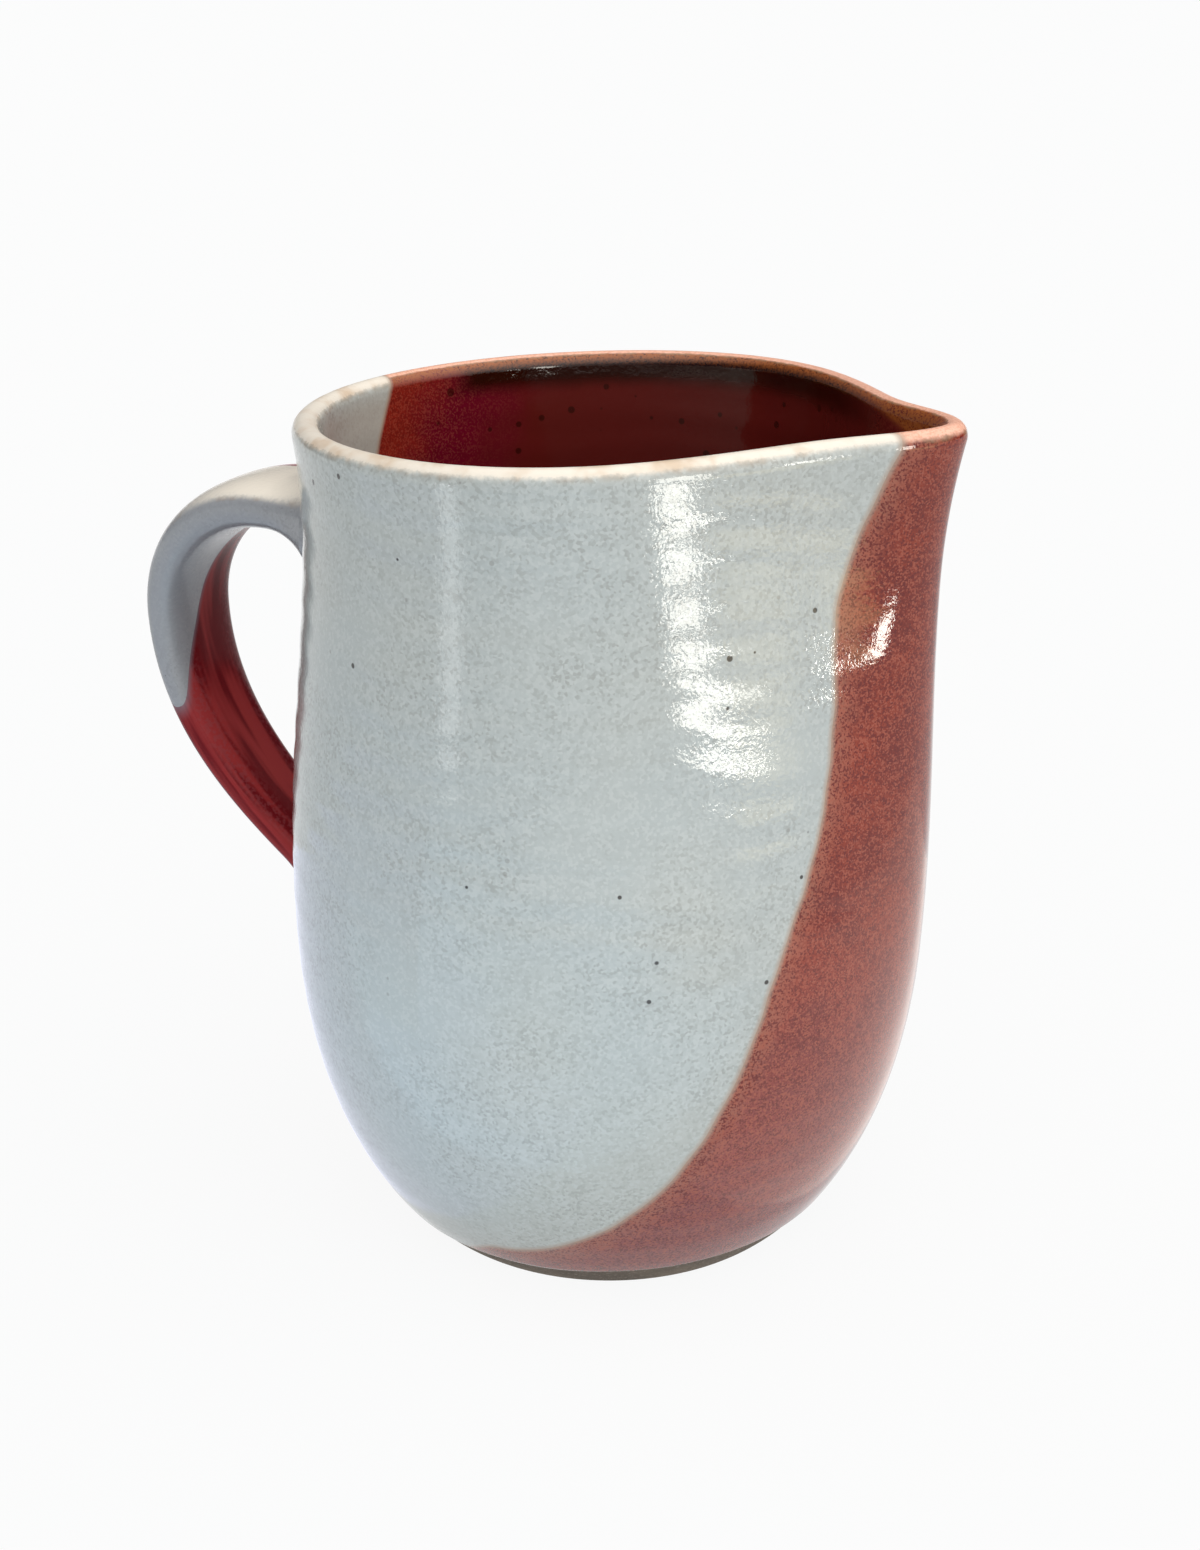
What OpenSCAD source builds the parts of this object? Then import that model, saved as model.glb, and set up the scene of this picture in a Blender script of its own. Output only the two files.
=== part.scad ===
// Pottery pitcher: a thrown body with a pulled spout, a pulled strap handle luted to its wall,
// and two dipped glazes, white on the near side and red on the rest.
// The origin is the centre of the foot, +X points to the spout, the handle is at -X and +Z is up.

/* [Body] */
// Height of the clay rim, half way round from the spout to the handle
rim_height = 177.5; // [150:0.5:210]
// Diameter of the flat foot
foot_d = 90.5; // [72:0.5:104]
// Greatest diameter of the belly
belly_d = 135.5; // [120:0.5:150]
// Height of the belly's greatest diameter
belly_z = 73.5; // [60:0.5:90]
// Diameter of the neck at its waist
waist_d = 122; // [108:1:134]
// Distance from the rim down to the waist
waist_drop = 6.5; // [0:0.5:30]
// Thickness of the wall
wall_t = 4.4; // [3.5:0.1:6]
// Thickness of the floor at its centre
floor_t = 7; // [5:0.5:10]
// Fullness of the outside curve as it comes down to the foot
foot_fullness = 2.4; // [1.8:0.1:3]
// Sharpness of the outside curve where it meets the foot
foot_turn = 1.2; // [1.1:0.05:2]
// Fullness of the inside curve as it comes down to the floor
bowl_fullness = 2.4; // [2:0.1:3]
// Sharpness of the inside curve where the wall turns into the floor
bowl_turn = 5; // [4:0.5:8]

/* [Lip] */
// Height of the rounded lip above the straight wall
lip_h = 2.4; // [1.5:0.1:4]
// How far the rim opens outwards at the lip
lip_flare = 1.5; // [0:0.1:3]
// Height of the stretch below the lip that opens outwards
lip_flare_h = 28; // [14:1:40]
// Rise of the rim from its middle to the spout, and its fall to the handle
rim_slope = 1.6; // [0:0.1:4]

/* [Spout] */
// Reach of the spout beyond the round of the rim
spout_reach = 9.8; // [6:0.2:14]
// Half the angle that the spout's tongue takes up
spout_angle = 14; // [10:1:20]
// Extra rise of the lip at the spout
spout_lift = 0.8; // [0:0.1:3]
// How far each side of the throat is pressed in
throat_pinch = 7; // [3:0.5:10]
// Angle from the spout to the deepest part of the throat
throat_angle = 39; // [32:1:50]
// Half the angle that the pressed side of the throat takes up
throat_spread = 36; // [28:1:45]
// Height at which the wall begins to follow the spout
pull_start_z = 46; // [30:1:90]
// How late the wall turns out on its way up to the spout
pull_power = 1.4; // [1.2:0.1:3]

/* [Handle] */
// Distance from the rim down to the upper root's centre on the wall
handle_drop = 30; // [26:0.5:40]
// Angle at which the strap springs up from the wall
handle_spring = 21; // [10:1:35]
// Distance from the upper root down to where the strap stands out furthest
handle_bow_drop = 26; // [20:0.5:34]
// How far the strap's middle stands out beyond the belly
handle_reach = 39.8; // [32:0.2:50]
// Distance between the centres of the two roots, measured upright
handle_h = 88; // [78:0.5:96]
// Angle at which the strap runs down into the wall
handle_entry = 45; // [30:1:50]
// Length of strap that is led by the upper root
top_lead = 27.5; // [20:0.5:34]
// Length of strap that is led upwards by the bow
bow_lead_up = 20; // [14:1:26]
// Length of strap that is led downwards by the bow
bow_lead_down = 32.5; // [24:0.5:38]
// Length of strap that is led by the lower root
bottom_lead = 17.5; // [12:0.5:24]
// Width of the strap at the top
strap_w_top = 29.5; // [22:0.5:34]
// Width of the strap at the bottom
strap_w_bottom = 18.5; // [14:0.5:26]
// Thickness of the strap at the top
strap_t_top = 10.8; // [8:0.2:13]
// Thickness of the strap at the bottom
strap_t_bottom = 7.2; // [6:0.2:10]
// Roundness of the strap's section, from 0.5 for nearly square to 1 for an ellipse
strap_round = 0.75; // [0.6:0.05:1]
// How much each root spreads out where it is smoothed on to the wall
root_flare = 3; // [1:0.5:5]
// Length of strap over which a root spreads out
root_flare_l = 14; // [12:1:20]
// Thickness of the slip that lutes a root to the wall
slip_t = 0.6; // [0.4:0.1:1.2]

/* [Glaze] */
// Thickness of the glaze
glaze_t = 0.6; // [0.4:0.1:1]
// Height of the bare clay that is left above the foot
bare_foot_h = 5; // [1:0.1:8]
// Direction of the white side in plan, measured from the spout
white_heading = -98.7; // [-120:0.1:-70]
// Angle at which the white side leans up from level
white_lean = 18.2; // [5:0.1:30]
// Distance from the centre of the foot to the line between the glazes
white_start = 55.9; // [50:0.1:62]

/* [Hidden] */

clay = "#8f7c6e";
slip_clay = "#a08d7e";
white_glass = "#dde2de";
red_glass = "#8a3733";

// Clearance between faceted faces that lie on each other
seat_gap = 0.15;

foot_r = foot_d / 2;
belly_r = belly_d / 2;
waist_r = waist_d / 2;
waist_z = rim_height - waist_drop;
lip_z = rim_height - lip_h;
handle_top_z = rim_height - handle_drop;
handle_bow_z = handle_top_z - handle_bow_drop;
handle_bottom_z = handle_top_z - handle_h;
// Depth of clay under the foot that the wire cut takes away
wire_cut = 1;
// How far the hole for a root in the glaze goes into the clay, and how far out of the glass
hole_depth = wall_t / 2;
hole_height = 4 * glaze_t;

// Points round a ring of the body, and how many degrees they crowd towards the spout
body_sides = 44;
spout_crowding = 24;
// Rings on each stretch of the body's profile
bare_rings = 3;
foot_rings = 8;
neck_rings = 9;
lip_rings = 5;
throat_rings = 7;
bowl_rings = 7;
// Points round the strap, stations along it and rings across a root's face
strap_sides = 16;
strap_stations = 22;
root_rings = 3;

function lerp(a, b, share) = a + (b - a) * share;
function bell(angle, spread) = exp(-pow(angle / spread, 2));
function signed_power(value, power) = sign(value) * pow(abs(value), power);
function reversed(list) = [for (i = [len(list) - 1 : -1 : 0]) list[i]];

// Radius of the outside, before the spout is pulled
function outer_r(z) =
    z <= 0 ? foot_r
    : z < belly_z
        ? foot_r + (belly_r - foot_r) * pow(1 - pow(1 - z / belly_z, foot_fullness), 1 / foot_turn)
        : waist_r + (belly_r - waist_r) * (1 + cos(180 * (z - belly_z) / (waist_z - belly_z))) / 2
            + lip_flare * pow(max(0, 1 - (lip_z - z) / lip_flare_h), 2);

// Radius of the inside, which closes to nothing at the floor
function inner_r(z) =
    z < belly_z
        ? (belly_r - wall_t)
            * pow(1 - pow(1 - (z - floor_t) / (belly_z - floor_t), bowl_fullness), 1 / bowl_turn)
        : outer_r(z) - wall_t;

// Profile points as [radius, height]: up the outside from the glaze line, over the lip, down to the floor
outside = [
    for (i = [0 : foot_rings])
        let (z = lerp(bare_foot_h, belly_z, pow(i / foot_rings, 2)))
        [outer_r(z), z],
    for (i = [1 : neck_rings])
        let (z = lerp(belly_z, lip_z, i / neck_rings))
        [outer_r(z), z]
];
lip = [
    for (i = [1 : lip_rings - 1])
        let (turn = 180 * i / lip_rings)
        [outer_r(lip_z) - wall_t * (1 - cos(turn)) / 2, lip_z + lip_h * sin(turn)]
];
inside = [
    for (i = [0 : throat_rings])
        let (z = lerp(lip_z, belly_z, i / throat_rings))
        [inner_r(z), z],
    for (i = [1 : bowl_rings - 1])
        let (z = lerp(floor_t, belly_z, pow(1 - i / bowl_rings, 4)))
        [inner_r(z), z]
];
glazed_profile = concat(outside, lip, inside);

// Normal of a profile at one of its points, pointing out of the clay
function profile_normal(profile, i) =
    let (step = profile[min(i + 1, len(profile) - 1)] - profile[max(i - 1, 0)])
    [step[1], -step[0]] / norm(step);

function grown_profile(profile, distance) =
    [for (i = [0 : len(profile) - 1]) profile[i] + distance * profile_normal(profile, i)];

// Offset of the rim in plan: out at the spout, in at both sides of the throat
function rim_pull(angle) =
    let (dent = throat_pinch * bell(throat_angle, throat_spread))
    (spout_reach + dent) * bell(angle, spout_angle)
        - throat_pinch * bell(abs(angle) - throat_angle, throat_spread);

function rim_rise(angle) = rim_slope * cos(angle) + spout_lift * bell(angle, spout_angle);
function pull_share(z) = pow(max(0, (z - pull_start_z) / (rim_height - pull_start_z)), pull_power);
function rise_share(z) = pow(z / rim_height, 2);

// Angles round the body from -180 to 180 degrees, closer together at the spout
ring_angles = [
    for (j = [0 : body_sides - 1])
        let (even = 360 * j / body_sides - 180)
        even - spout_crowding * sin(even)
];

function body_point(place, angle) =
    let (r = place[0] + rim_pull(angle) * pull_share(place[1]))
    [r * cos(angle), r * sin(angle), place[1] + rim_rise(angle) * rise_share(place[1])];

function body_rings(profile) =
    [for (place = profile) [for (angle = ring_angles) body_point(place, angle)]];

// Two triangles on each step between rings a and b, split along the shorter diagonal
function band(points, a, b, sides) = [
    for (j = [0 : sides - 1])
        let (k = (j + 1) % sides)
        each norm(points[a + j] - points[b + k]) < norm(points[a + k] - points[b + j])
            ? [[a + j, b + j, b + k], [a + j, b + k, a + k]]
            : [[a + j, b + j, a + k], [b + j, b + k, a + k]]
];

// Closed skin over rings that all have the same number of points.
// With ends it closes on two middle points, and without them the last ring joins the first.
module skin(rings, ends = []) {
    sides = len(rings[0]);
    last = (len(rings) - 1) * sides;
    points = concat([for (ring = rings) each ring], ends);
    walls = [for (i = [0 : len(rings) - 2]) each band(points, i * sides, (i + 1) * sides, sides)];
    closing = len(ends) == 0
        ? band(points, last, 0, sides)
        : [
            for (j = [0 : sides - 1])
                let (k = (j + 1) % sides)
                each [[last + sides, j, k], [last + k, last + j, last + sides + 1]]
        ];
    polyhedron(points, concat(walls, closing));
}

module thrown_form() {
    base = [[foot_r, -wire_cut], [foot_r, 0]];
    bare_foot = [
        for (i = [1 : bare_rings - 1])
            let (z = bare_foot_h * i / bare_rings)
            [outer_r(z), z]
    ];
    skin(
        body_rings(concat(base, bare_foot, glazed_profile)),
        [[0, 0, -wire_cut], [0, 0, floor_t]]
    );
}

module body() {
    color(clay)
        difference() {
            thrown_form();
            translate([0, 0, -2 * wire_cut])
                cylinder(d = 2 * foot_d, h = 2 * wire_cut);
        }
}

// Middle line of the strap in the plane of the handle, as [distance out, height]
root_top = [outer_r(handle_top_z), handle_top_z];
root_bottom = [outer_r(handle_bottom_z), handle_bottom_z];
bow = [belly_r + handle_reach, handle_bow_z];
upper_arch = [
    root_top,
    root_top + top_lead * [cos(handle_spring), sin(handle_spring)],
    bow + [0, bow_lead_up],
    bow
];
lower_arch = [
    bow,
    bow - [0, bow_lead_down],
    root_bottom + bottom_lead * [cos(handle_entry), sin(handle_entry)],
    root_bottom
];

function arch_point(arch, t) =
    pow(1 - t, 3) * arch[0] + 3 * pow(1 - t, 2) * t * arch[1]
        + 3 * (1 - t) * t * t * arch[2] + pow(t, 3) * arch[3];
function arch_direction(arch, t) =
    let (
        slope = pow(1 - t, 2) * (arch[1] - arch[0]) + 2 * (1 - t) * t * (arch[2] - arch[1])
            + t * t * (arch[3] - arch[2])
    )
    slope / norm(slope);

// The strap's share runs from 0 at the upper root to 1 at the lower root
function strap_point(share) =
    share < 0.5 ? arch_point(upper_arch, 2 * share) : arch_point(lower_arch, 2 * share - 1);
function strap_direction(share) =
    share < 0.5 ? arch_direction(upper_arch, 2 * share) : arch_direction(lower_arch, 2 * share - 1);

// How much of a root's spread is left at a share of the strap
function root_share(share) =
    let (away = min(norm(strap_point(share) - root_top), norm(strap_point(share) - root_bottom)))
    max(0, 1 - away / root_flare_l);

// Point of the section at a share of the strap, grown outwards and drawn in to part of its size
function section_point(share, turn, grow, size) =
    let (
        spread = root_flare * pow(root_share(share), 2) + grow,
        half_t = lerp(strap_t_top, strap_t_bottom, share) / 2 + spread,
        half_w = lerp(strap_w_top, strap_w_bottom, share) / 2 + spread,
        middle = strap_point(share),
        along = strap_direction(share),
        off = size * half_t * signed_power(cos(turn), strap_round)
    )
    [
        -(middle[0] + off * along[1]),
        size * half_w * signed_power(sin(turn), strap_round),
        middle[1] - off * along[0]
    ];

// Distance of a point from the outside of the wall, measured level
function wall_distance(point) =
    let (
        angle = atan2(point[1], point[0]),
        z = point[2] - rim_rise(angle) * rise_share(point[2])
    )
    norm([point[0], point[1]]) - outer_r(z) - rim_pull(angle) * pull_share(z);

// How far a point of a root slides along the strap until it stands a given height off the wall
function root_slide(point, outwards, height, steps = 8) =
    steps == 0 ? 0
    : let (
        slide = root_slide(point, outwards, height, steps - 1),
        miss = height - wall_distance(point + slide * outwards)
    )
    slide + miss / norm([outwards[0], outwards[1]]);

// Ring of the strap. Near a root it leans over until, at the wall, it stands the given height off it.
function strap_ring(share, grow = 0, height = slip_t, size = 1) = [
    for (j = [0 : strap_sides - 1])
        let (
            turn = -360 * j / strap_sides,
            root = share < 0.5 ? 0 : 1,
            along = strap_direction(root) * (1 - 2 * root),
            outwards = [-along[0], 0, along[1]],
            slide = root_slide(section_point(root, turn, grow, size), outwards, height),
            here = strap_direction(share) * (1 - 2 * root)
        )
        section_point(share, turn, grow, size) + slide * root_share(share) * [-here[0], 0, here[1]]
];

// Stations along the strap, closer together at the roots
strap_shares = [for (i = [0 : strap_stations]) (1 - cos(180 * i / strap_stations)) / 2];
// Sizes of the rings that cover a root's face, from its middle to its edge
face_sizes = [for (i = [1 : root_rings]) i / root_rings];

function root_face(root, grow, height) =
    [for (size = face_sizes) strap_ring(root, grow, height, size)];
function root_middle(root, height) = strap_ring(root, 0, height, 0)[0];

// Slice through a root between two heights off the wall
module root_slice(root, grow, low, high) {
    faces = concat(root_face(root, grow, low), reversed(root_face(root, grow, high)));
    middles = [root_middle(root, low), root_middle(root, high)];
    skin(
        root == 0 ? faces : reversed(faces),
        root == 0 ? middles : reversed(middles)
    );
}

module handle() {
    inner_shares = [for (i = [1 : strap_stations - 1]) strap_shares[i]];
    color(clay)
        skin(
            concat(
                root_face(0, 0, slip_t),
                [for (share = inner_shares) strap_ring(share)],
                reversed(root_face(1, 0, slip_t))
            ),
            [root_middle(0, slip_t), root_middle(1, slip_t)]
        );
}

module upper_slip() {
    color(slip_clay)
        root_slice(0, 0, seat_gap, slip_t);
}

module lower_slip() {
    color(slip_clay)
        root_slice(1, 0, seat_gap, slip_t);
}

// Everything on the white side of the line between the glazes
module white_side() {
    reach = 2 * (rim_height + bow[0]);
    rotate([0, -white_lean, white_heading])
        translate([white_start, -reach / 2, -reach / 2])
            cube(reach);
}

// Glass over the lip, the inside and the outside, open where the roots are luted to the clay
module body_coat() {
    clay_face = body_rings(glazed_profile);
    glass_face = body_rings(grown_profile(glazed_profile, glaze_t));
    difference() {
        skin(concat(reversed(clay_face), glass_face), [[0, 0, floor_t], [0, 0, floor_t + glaze_t]]);
        for (root = [0, 1])
            root_slice(root, glaze_t + seat_gap, -hole_depth, hole_height);
    }
}

// Glass round the strap, from wall to wall
module handle_coat() {
    clay_face = concat(
        [strap_ring(0, 0, seat_gap)],
        [for (share = strap_shares) strap_ring(share)],
        [strap_ring(1, 0, seat_gap)]
    );
    glass_face = concat(
        [strap_ring(0, glaze_t, seat_gap)],
        [for (share = strap_shares) strap_ring(share, glaze_t)],
        [strap_ring(1, glaze_t, seat_gap)]
    );
    skin(concat(reversed(clay_face), glass_face));
}

module white_glaze_body() {
    color(white_glass)
        intersection() {
            body_coat();
            white_side();
        }
}

module red_glaze_body() {
    color(red_glass)
        difference() {
            body_coat();
            white_side();
        }
}

module white_glaze_handle() {
    color(white_glass)
        intersection() {
            handle_coat();
            white_side();
        }
}

module red_glaze_handle() {
    color(red_glass)
        difference() {
            handle_coat();
            white_side();
        }
}

body();
handle();
upper_slip();
lower_slip();
white_glaze_body();
red_glaze_body();
white_glaze_handle();
red_glaze_handle();
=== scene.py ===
"""Pottery pitcher: smooth clay, two dipped glazes and a plain studio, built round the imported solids."""

import math

import bmesh
import bpy
import numpy as np
from bpy.props import FloatProperty, FloatVectorProperty, IntProperty, PointerProperty
from mathutils import Matrix, Vector


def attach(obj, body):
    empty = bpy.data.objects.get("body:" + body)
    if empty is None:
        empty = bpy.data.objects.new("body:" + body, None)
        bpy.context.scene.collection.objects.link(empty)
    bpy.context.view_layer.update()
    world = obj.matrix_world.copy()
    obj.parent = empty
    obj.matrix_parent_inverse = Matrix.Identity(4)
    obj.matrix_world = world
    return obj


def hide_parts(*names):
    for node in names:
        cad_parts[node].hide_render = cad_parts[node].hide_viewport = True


bl_info = {
    "name": "Pottery Pitcher",
    "version": (1, 0, 0),
    "blender": (4, 5, 0),
    "location": "View3D > Sidebar > Pitcher",
    "description": "Glazes a thrown pitcher and sets it in a plain studio",
    "category": "Add Mesh",
}

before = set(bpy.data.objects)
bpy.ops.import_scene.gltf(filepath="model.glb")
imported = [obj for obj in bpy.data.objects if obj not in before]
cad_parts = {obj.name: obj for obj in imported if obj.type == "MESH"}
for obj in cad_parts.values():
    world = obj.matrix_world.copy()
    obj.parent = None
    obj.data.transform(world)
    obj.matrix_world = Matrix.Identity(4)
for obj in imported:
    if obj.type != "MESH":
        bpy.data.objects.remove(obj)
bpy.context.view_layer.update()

MM = 0.001
BODY = "root"
SLIDE_STEPS = 12


def length(name, description, millimetres):
    return FloatProperty(
        name=name,
        description=description,
        default=millimetres * MM,
        precision=4,
        unit="LENGTH",
    )


def angle(name, description, degrees):
    return FloatProperty(
        name=name,
        description=description,
        default=math.radians(degrees),
        subtype="ANGLE",
    )


def number(name, description, value):
    return FloatProperty(name=name, description=description, default=value)


def colour(name, description, value):
    return FloatVectorProperty(
        name=name,
        description=description,
        default=value,
        size=3,
        min=0.0,
        max=1.0,
        subtype="COLOR",
    )


class BodyForm(bpy.types.PropertyGroup):
    """Sizes of the thrown body and its pulled spout"""

    rim_height: length("Rim height", "Height of the clay rim, half way round from the spout", 177.5)
    foot_d: length("Foot", "Diameter of the flat foot", 90.5)
    belly_d: length("Belly", "Greatest diameter of the belly", 135.5)
    belly_z: length("Belly height", "Height of the greatest diameter", 73.5)
    waist_d: length("Waist", "Diameter of the neck at its waist", 122)
    waist_drop: length("Waist drop", "Distance from the rim down to the waist", 6.5)
    wall_t: length("Wall", "Thickness of the wall", 4.4)
    floor_t: length("Floor", "Thickness of the floor at its centre", 7)
    foot_fullness: number("Foot fullness", "Fullness of the outside curve above the foot", 2.4)
    foot_turn: number("Foot turn", "Sharpness of the outside curve at the foot", 1.2)
    bowl_fullness: number("Bowl fullness", "Fullness of the inside curve above the floor", 2.4)
    bowl_turn: number("Bowl turn", "Sharpness of the inside curve at the floor", 5)
    lip_h: length("Lip", "Height of the rounded lip", 2.4)
    lip_flare: length("Lip flare", "How far the rim opens outwards", 1.5)
    lip_flare_h: length("Lip flare height", "Height of the stretch that opens outwards", 28)
    rim_slope: length("Rim slope", "Rise of the rim towards the spout", 1.6)
    spout_reach: length("Spout reach", "Reach of the spout beyond the round of the rim", 9.8)
    spout_angle: angle("Spout angle", "Half the angle that the spout takes up", 14)
    spout_lift: length("Spout lift", "Extra rise of the lip at the spout", 0.8)
    throat_pinch: length("Throat pinch", "How far each side of the throat is pressed in", 7)
    throat_angle: angle("Throat angle", "Angle from the spout to the pressed place", 39)
    throat_spread: angle("Throat spread", "Half the angle of the pressed place", 36)
    pull_start_z: length("Pull start", "Height at which the wall begins to follow the spout", 46)
    pull_power: number("Pull power", "How late the wall turns out to the spout", 1.4)
    ridge_pitch: length("Ridge pitch", "Height between throwing ridges", 8)
    ridge_depth: length("Ridge depth", "Height of a throwing ridge", 0.13)
    ridge_seed: number("Ridge seed", "Choice of the unevenness of the ridges", 4)
    wire_pitch: length("Wire pitch", "Distance between the marks of the cutting wire", 3.2)
    wire_depth: length("Wire depth", "Depth of the marks of the cutting wire", 0.3)
    columns: IntProperty(name="Columns", description="Points round the body", default=180)


class StrapForm(bpy.types.PropertyGroup):
    """Sizes of the pulled strap handle"""

    drop: length("Drop", "Distance from the rim down to the upper root", 30)
    spring: angle("Spring", "Angle at which the strap springs from the wall", 21)
    bow_drop: length("Bow drop", "Distance from the upper root down to the bow", 26)
    reach: length("Reach", "How far the strap stands out beyond the belly", 39.8)
    height: length("Height", "Upright distance between the roots", 88)
    entry: angle("Entry", "Angle at which the strap runs down into the wall", 45)
    top_lead: length("Top lead", "Length of strap led by the upper root", 27.5)
    bow_lead_up: length("Bow lead up", "Length of strap led upwards by the bow", 20)
    bow_lead_down: length("Bow lead down", "Length of strap led downwards by the bow", 32.5)
    bottom_lead: length("Bottom lead", "Length of strap led by the lower root", 17.5)
    top_w: length("Top width", "Width of the strap at the top", 29.5)
    bottom_w: length("Bottom width", "Width of the strap at the bottom", 18.5)
    top_t: length("Top thickness", "Thickness of the strap at the top", 10.8)
    bottom_t: length("Bottom thickness", "Thickness of the strap at the bottom", 7.2)
    roundness: number("Roundness", "Roundness of the strap's section", 0.75)
    root_flare: length("Root flare", "How much a root spreads out at the wall", 3)
    root_flare_l: length("Root flare length", "Length of strap over which it spreads", 14)
    fillet: length("Fillet", "Radius of the smoothed clay round a root", 4)
    sides: IntProperty(name="Sides", description="Points round the strap", default=72)
    stations: IntProperty(name="Stations", description="Rings along the strap", default=170)


class GlazeFinish(bpy.types.PropertyGroup):
    """Thickness, line and colours of the two glazes and the clay"""

    thickness: length("Thickness", "Thickness of the glaze", 0.6)
    bare_foot_h: length("Bare foot", "Height of the bare clay above the foot", 5)
    foot_feather: length("Foot feather", "Height over which the glaze thins out towards the foot", 3)
    heading: angle("Heading", "Direction of the white side in plan", -98.7)
    lean: angle("Lean", "Angle at which the white side leans up", 18.2)
    start: length("Start", "Distance from the foot's centre to the line", 55.9)
    white: colour("White", "Cool white glaze", (0.455, 0.49, 0.487))
    white_warm: colour("Warm white", "White glaze where it is thin", (0.49, 0.50, 0.47))
    pale: colour("Pale specks", "Pale specks in the white glaze", (0.56, 0.585, 0.57))
    # Darker than the body's white: thin glaze over the clay, and painted shade for the handle's shaded side
    shaded_thin_white: colour("Thin white", "White glaze on the handle, thin over the clay", (0.215, 0.213, 0.250))
    inner_white: colour("Inner white", "White glaze on the inside", (0.40, 0.34, 0.29))
    speck: colour("Specks", "Grey-brown specks in the white glaze", (0.27, 0.265, 0.245))
    iron: colour("Iron", "Iron spots", (0.022, 0.014, 0.012))
    cream: colour("Cream", "Lip where the white glaze breaks over the clay", (0.82, 0.755, 0.665))
    blush: colour("Blush", "Warm patches on the pale lip", (0.66, 0.52, 0.39))
    lip_brown: colour("Lip brown", "Brown edge of the bare-looking lip", (0.28, 0.18, 0.10))
    seam: colour("Seam", "Where the two glazes meet", (0.42, 0.31, 0.24))
    brick: colour("Brick", "Red glaze on the outside", (0.26, 0.028, 0.008))
    brick_dark: colour("Dark brick", "Deep red glaze on the outside", (0.128, 0.008, 0.006))
    rose: colour("Rose", "Pale grains in the red glaze", (0.36, 0.082, 0.046))
    # Mauve: a painted reflection of the pale floor on the red near the foot, and wear on the handle's edges
    mauve_sheen_and_wear: colour("Mauve", "Red glaze towards the foot", (0.265, 0.060, 0.068))
    fringe: colour("Fringe", "Red glaze along the line", (0.38, 0.15, 0.095))
    salmon: colour("Salmon", "Lip where the red glaze breaks over the clay", (0.90, 0.50, 0.37))
    salmon_dark: colour("Dark salmon", "Darker grains of the salmon lip", (0.76, 0.38, 0.26))
    oxblood: colour("Oxblood", "Red glaze on the inside", (0.11, 0.010, 0.008))
    plum: colour("Plum", "Purple bloom on the inside", (0.13, 0.002, 0.014))
    rust: colour("Rust", "Inside along the white glaze", (0.24, 0.016, 0.009))
    # Near-black of the band just under the red lip inside and of the dark spots inside
    near_black: colour("Soot", "Dark band inside, under the red lip", (0.020, 0.003, 0.001))
    amber: colour("Amber", "Brown glaze inside, under the red lip", (0.33, 0.092, 0.020))
    cherry: colour("Cherry", "Red glaze on the handle", (0.33, 0.036, 0.038))
    cherry_dark: colour("Dark cherry", "Stripes along the handle", (0.15, 0.008, 0.012))
    clay: colour("Clay", "Bare fired clay", (0.25, 0.20, 0.155))
    clay_sand: colour("Clay sand", "Pale grains in the bare clay", (0.42, 0.36, 0.30))


class StudioSetup(bpy.types.PropertyGroup):
    """Camera, lamps and floor"""

    azimuth: angle("Azimuth", "Camera's direction round the pitcher, from its front", 25.18)
    elevation: angle("Elevation", "Camera's height above level", 22.5)
    distance: length("Distance", "Distance from the camera to its target", 420.05)
    target_x: length("Target across", "Target's distance to the right of the axis", -2.02)
    target_z: length("Target height", "Height of the target", 97.685)
    lens: number("Lens", "Focal length in millimetres", 45.37)
    sky: colour("Sky", "Light from above and from the right", (1.0, 0.98, 0.94))
    sky_level: number("Sky level", "Strength of the light from above", 2.02)
    shade: colour("Shade", "Light from all round", (0.045, 0.05, 0.06))
    floor: colour("Floor", "Pale floor", (0.53, 0.56, 0.58))
    floor_glow: number("Floor glow", "Share of the floor that shows as plain white", 0.92)


def pitcher():
    return bpy.context.scene.pitcher


def bell(value, spread):
    return np.exp(-((value / spread) ** 2))


def smooth_step(value, low, high):
    share = np.clip((value - low) / (high - low), 0, 1)
    return share * share * (3 - 2 * share)


def lip_base(form):
    return form.rim_height - form.lip_h


def outer_radius(form, z):
    """Radius of the clay's outside, before the spout is pulled"""
    foot, belly, waist = form.foot_d / 2, form.belly_d / 2, form.waist_d / 2
    waist_z = form.rim_height - form.waist_drop
    low = np.clip(z / form.belly_z, 0, 1)
    below = foot + (belly - foot) * (1 - (1 - low) ** form.foot_fullness) ** (1 / form.foot_turn)
    swing = math.pi * (z - form.belly_z) / (waist_z - form.belly_z)
    flare = np.clip(1 - (lip_base(form) - z) / form.lip_flare_h, 0, None) ** 2
    above = waist + (belly - waist) * (1 + np.cos(swing)) / 2 + form.lip_flare * flare
    return np.where(z < form.belly_z, below, above)


def inner_radius(form, z):
    """Radius of the clay's inside, which closes to nothing at the floor"""
    share = np.clip((z - form.floor_t) / (form.belly_z - form.floor_t), 0, 1)
    bowl = (1 - (1 - share) ** form.bowl_fullness) ** (1 / form.bowl_turn)
    below = (form.belly_d / 2 - form.wall_t) * bowl
    return np.where(z < form.belly_z, below, outer_radius(form, z) - form.wall_t)


def rim_pull(form, turn):
    """Offset of the rim in plan: out at the spout, in at both sides of the throat"""
    dent = form.throat_pinch * bell(form.throat_angle, form.throat_spread)
    tongue = (form.spout_reach + dent) * bell(turn, form.spout_angle)
    return tongue - form.throat_pinch * bell(np.abs(turn) - form.throat_angle, form.throat_spread)


def rim_rise(form, turn):
    return form.rim_slope * np.cos(turn) + form.spout_lift * bell(turn, form.spout_angle)


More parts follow.
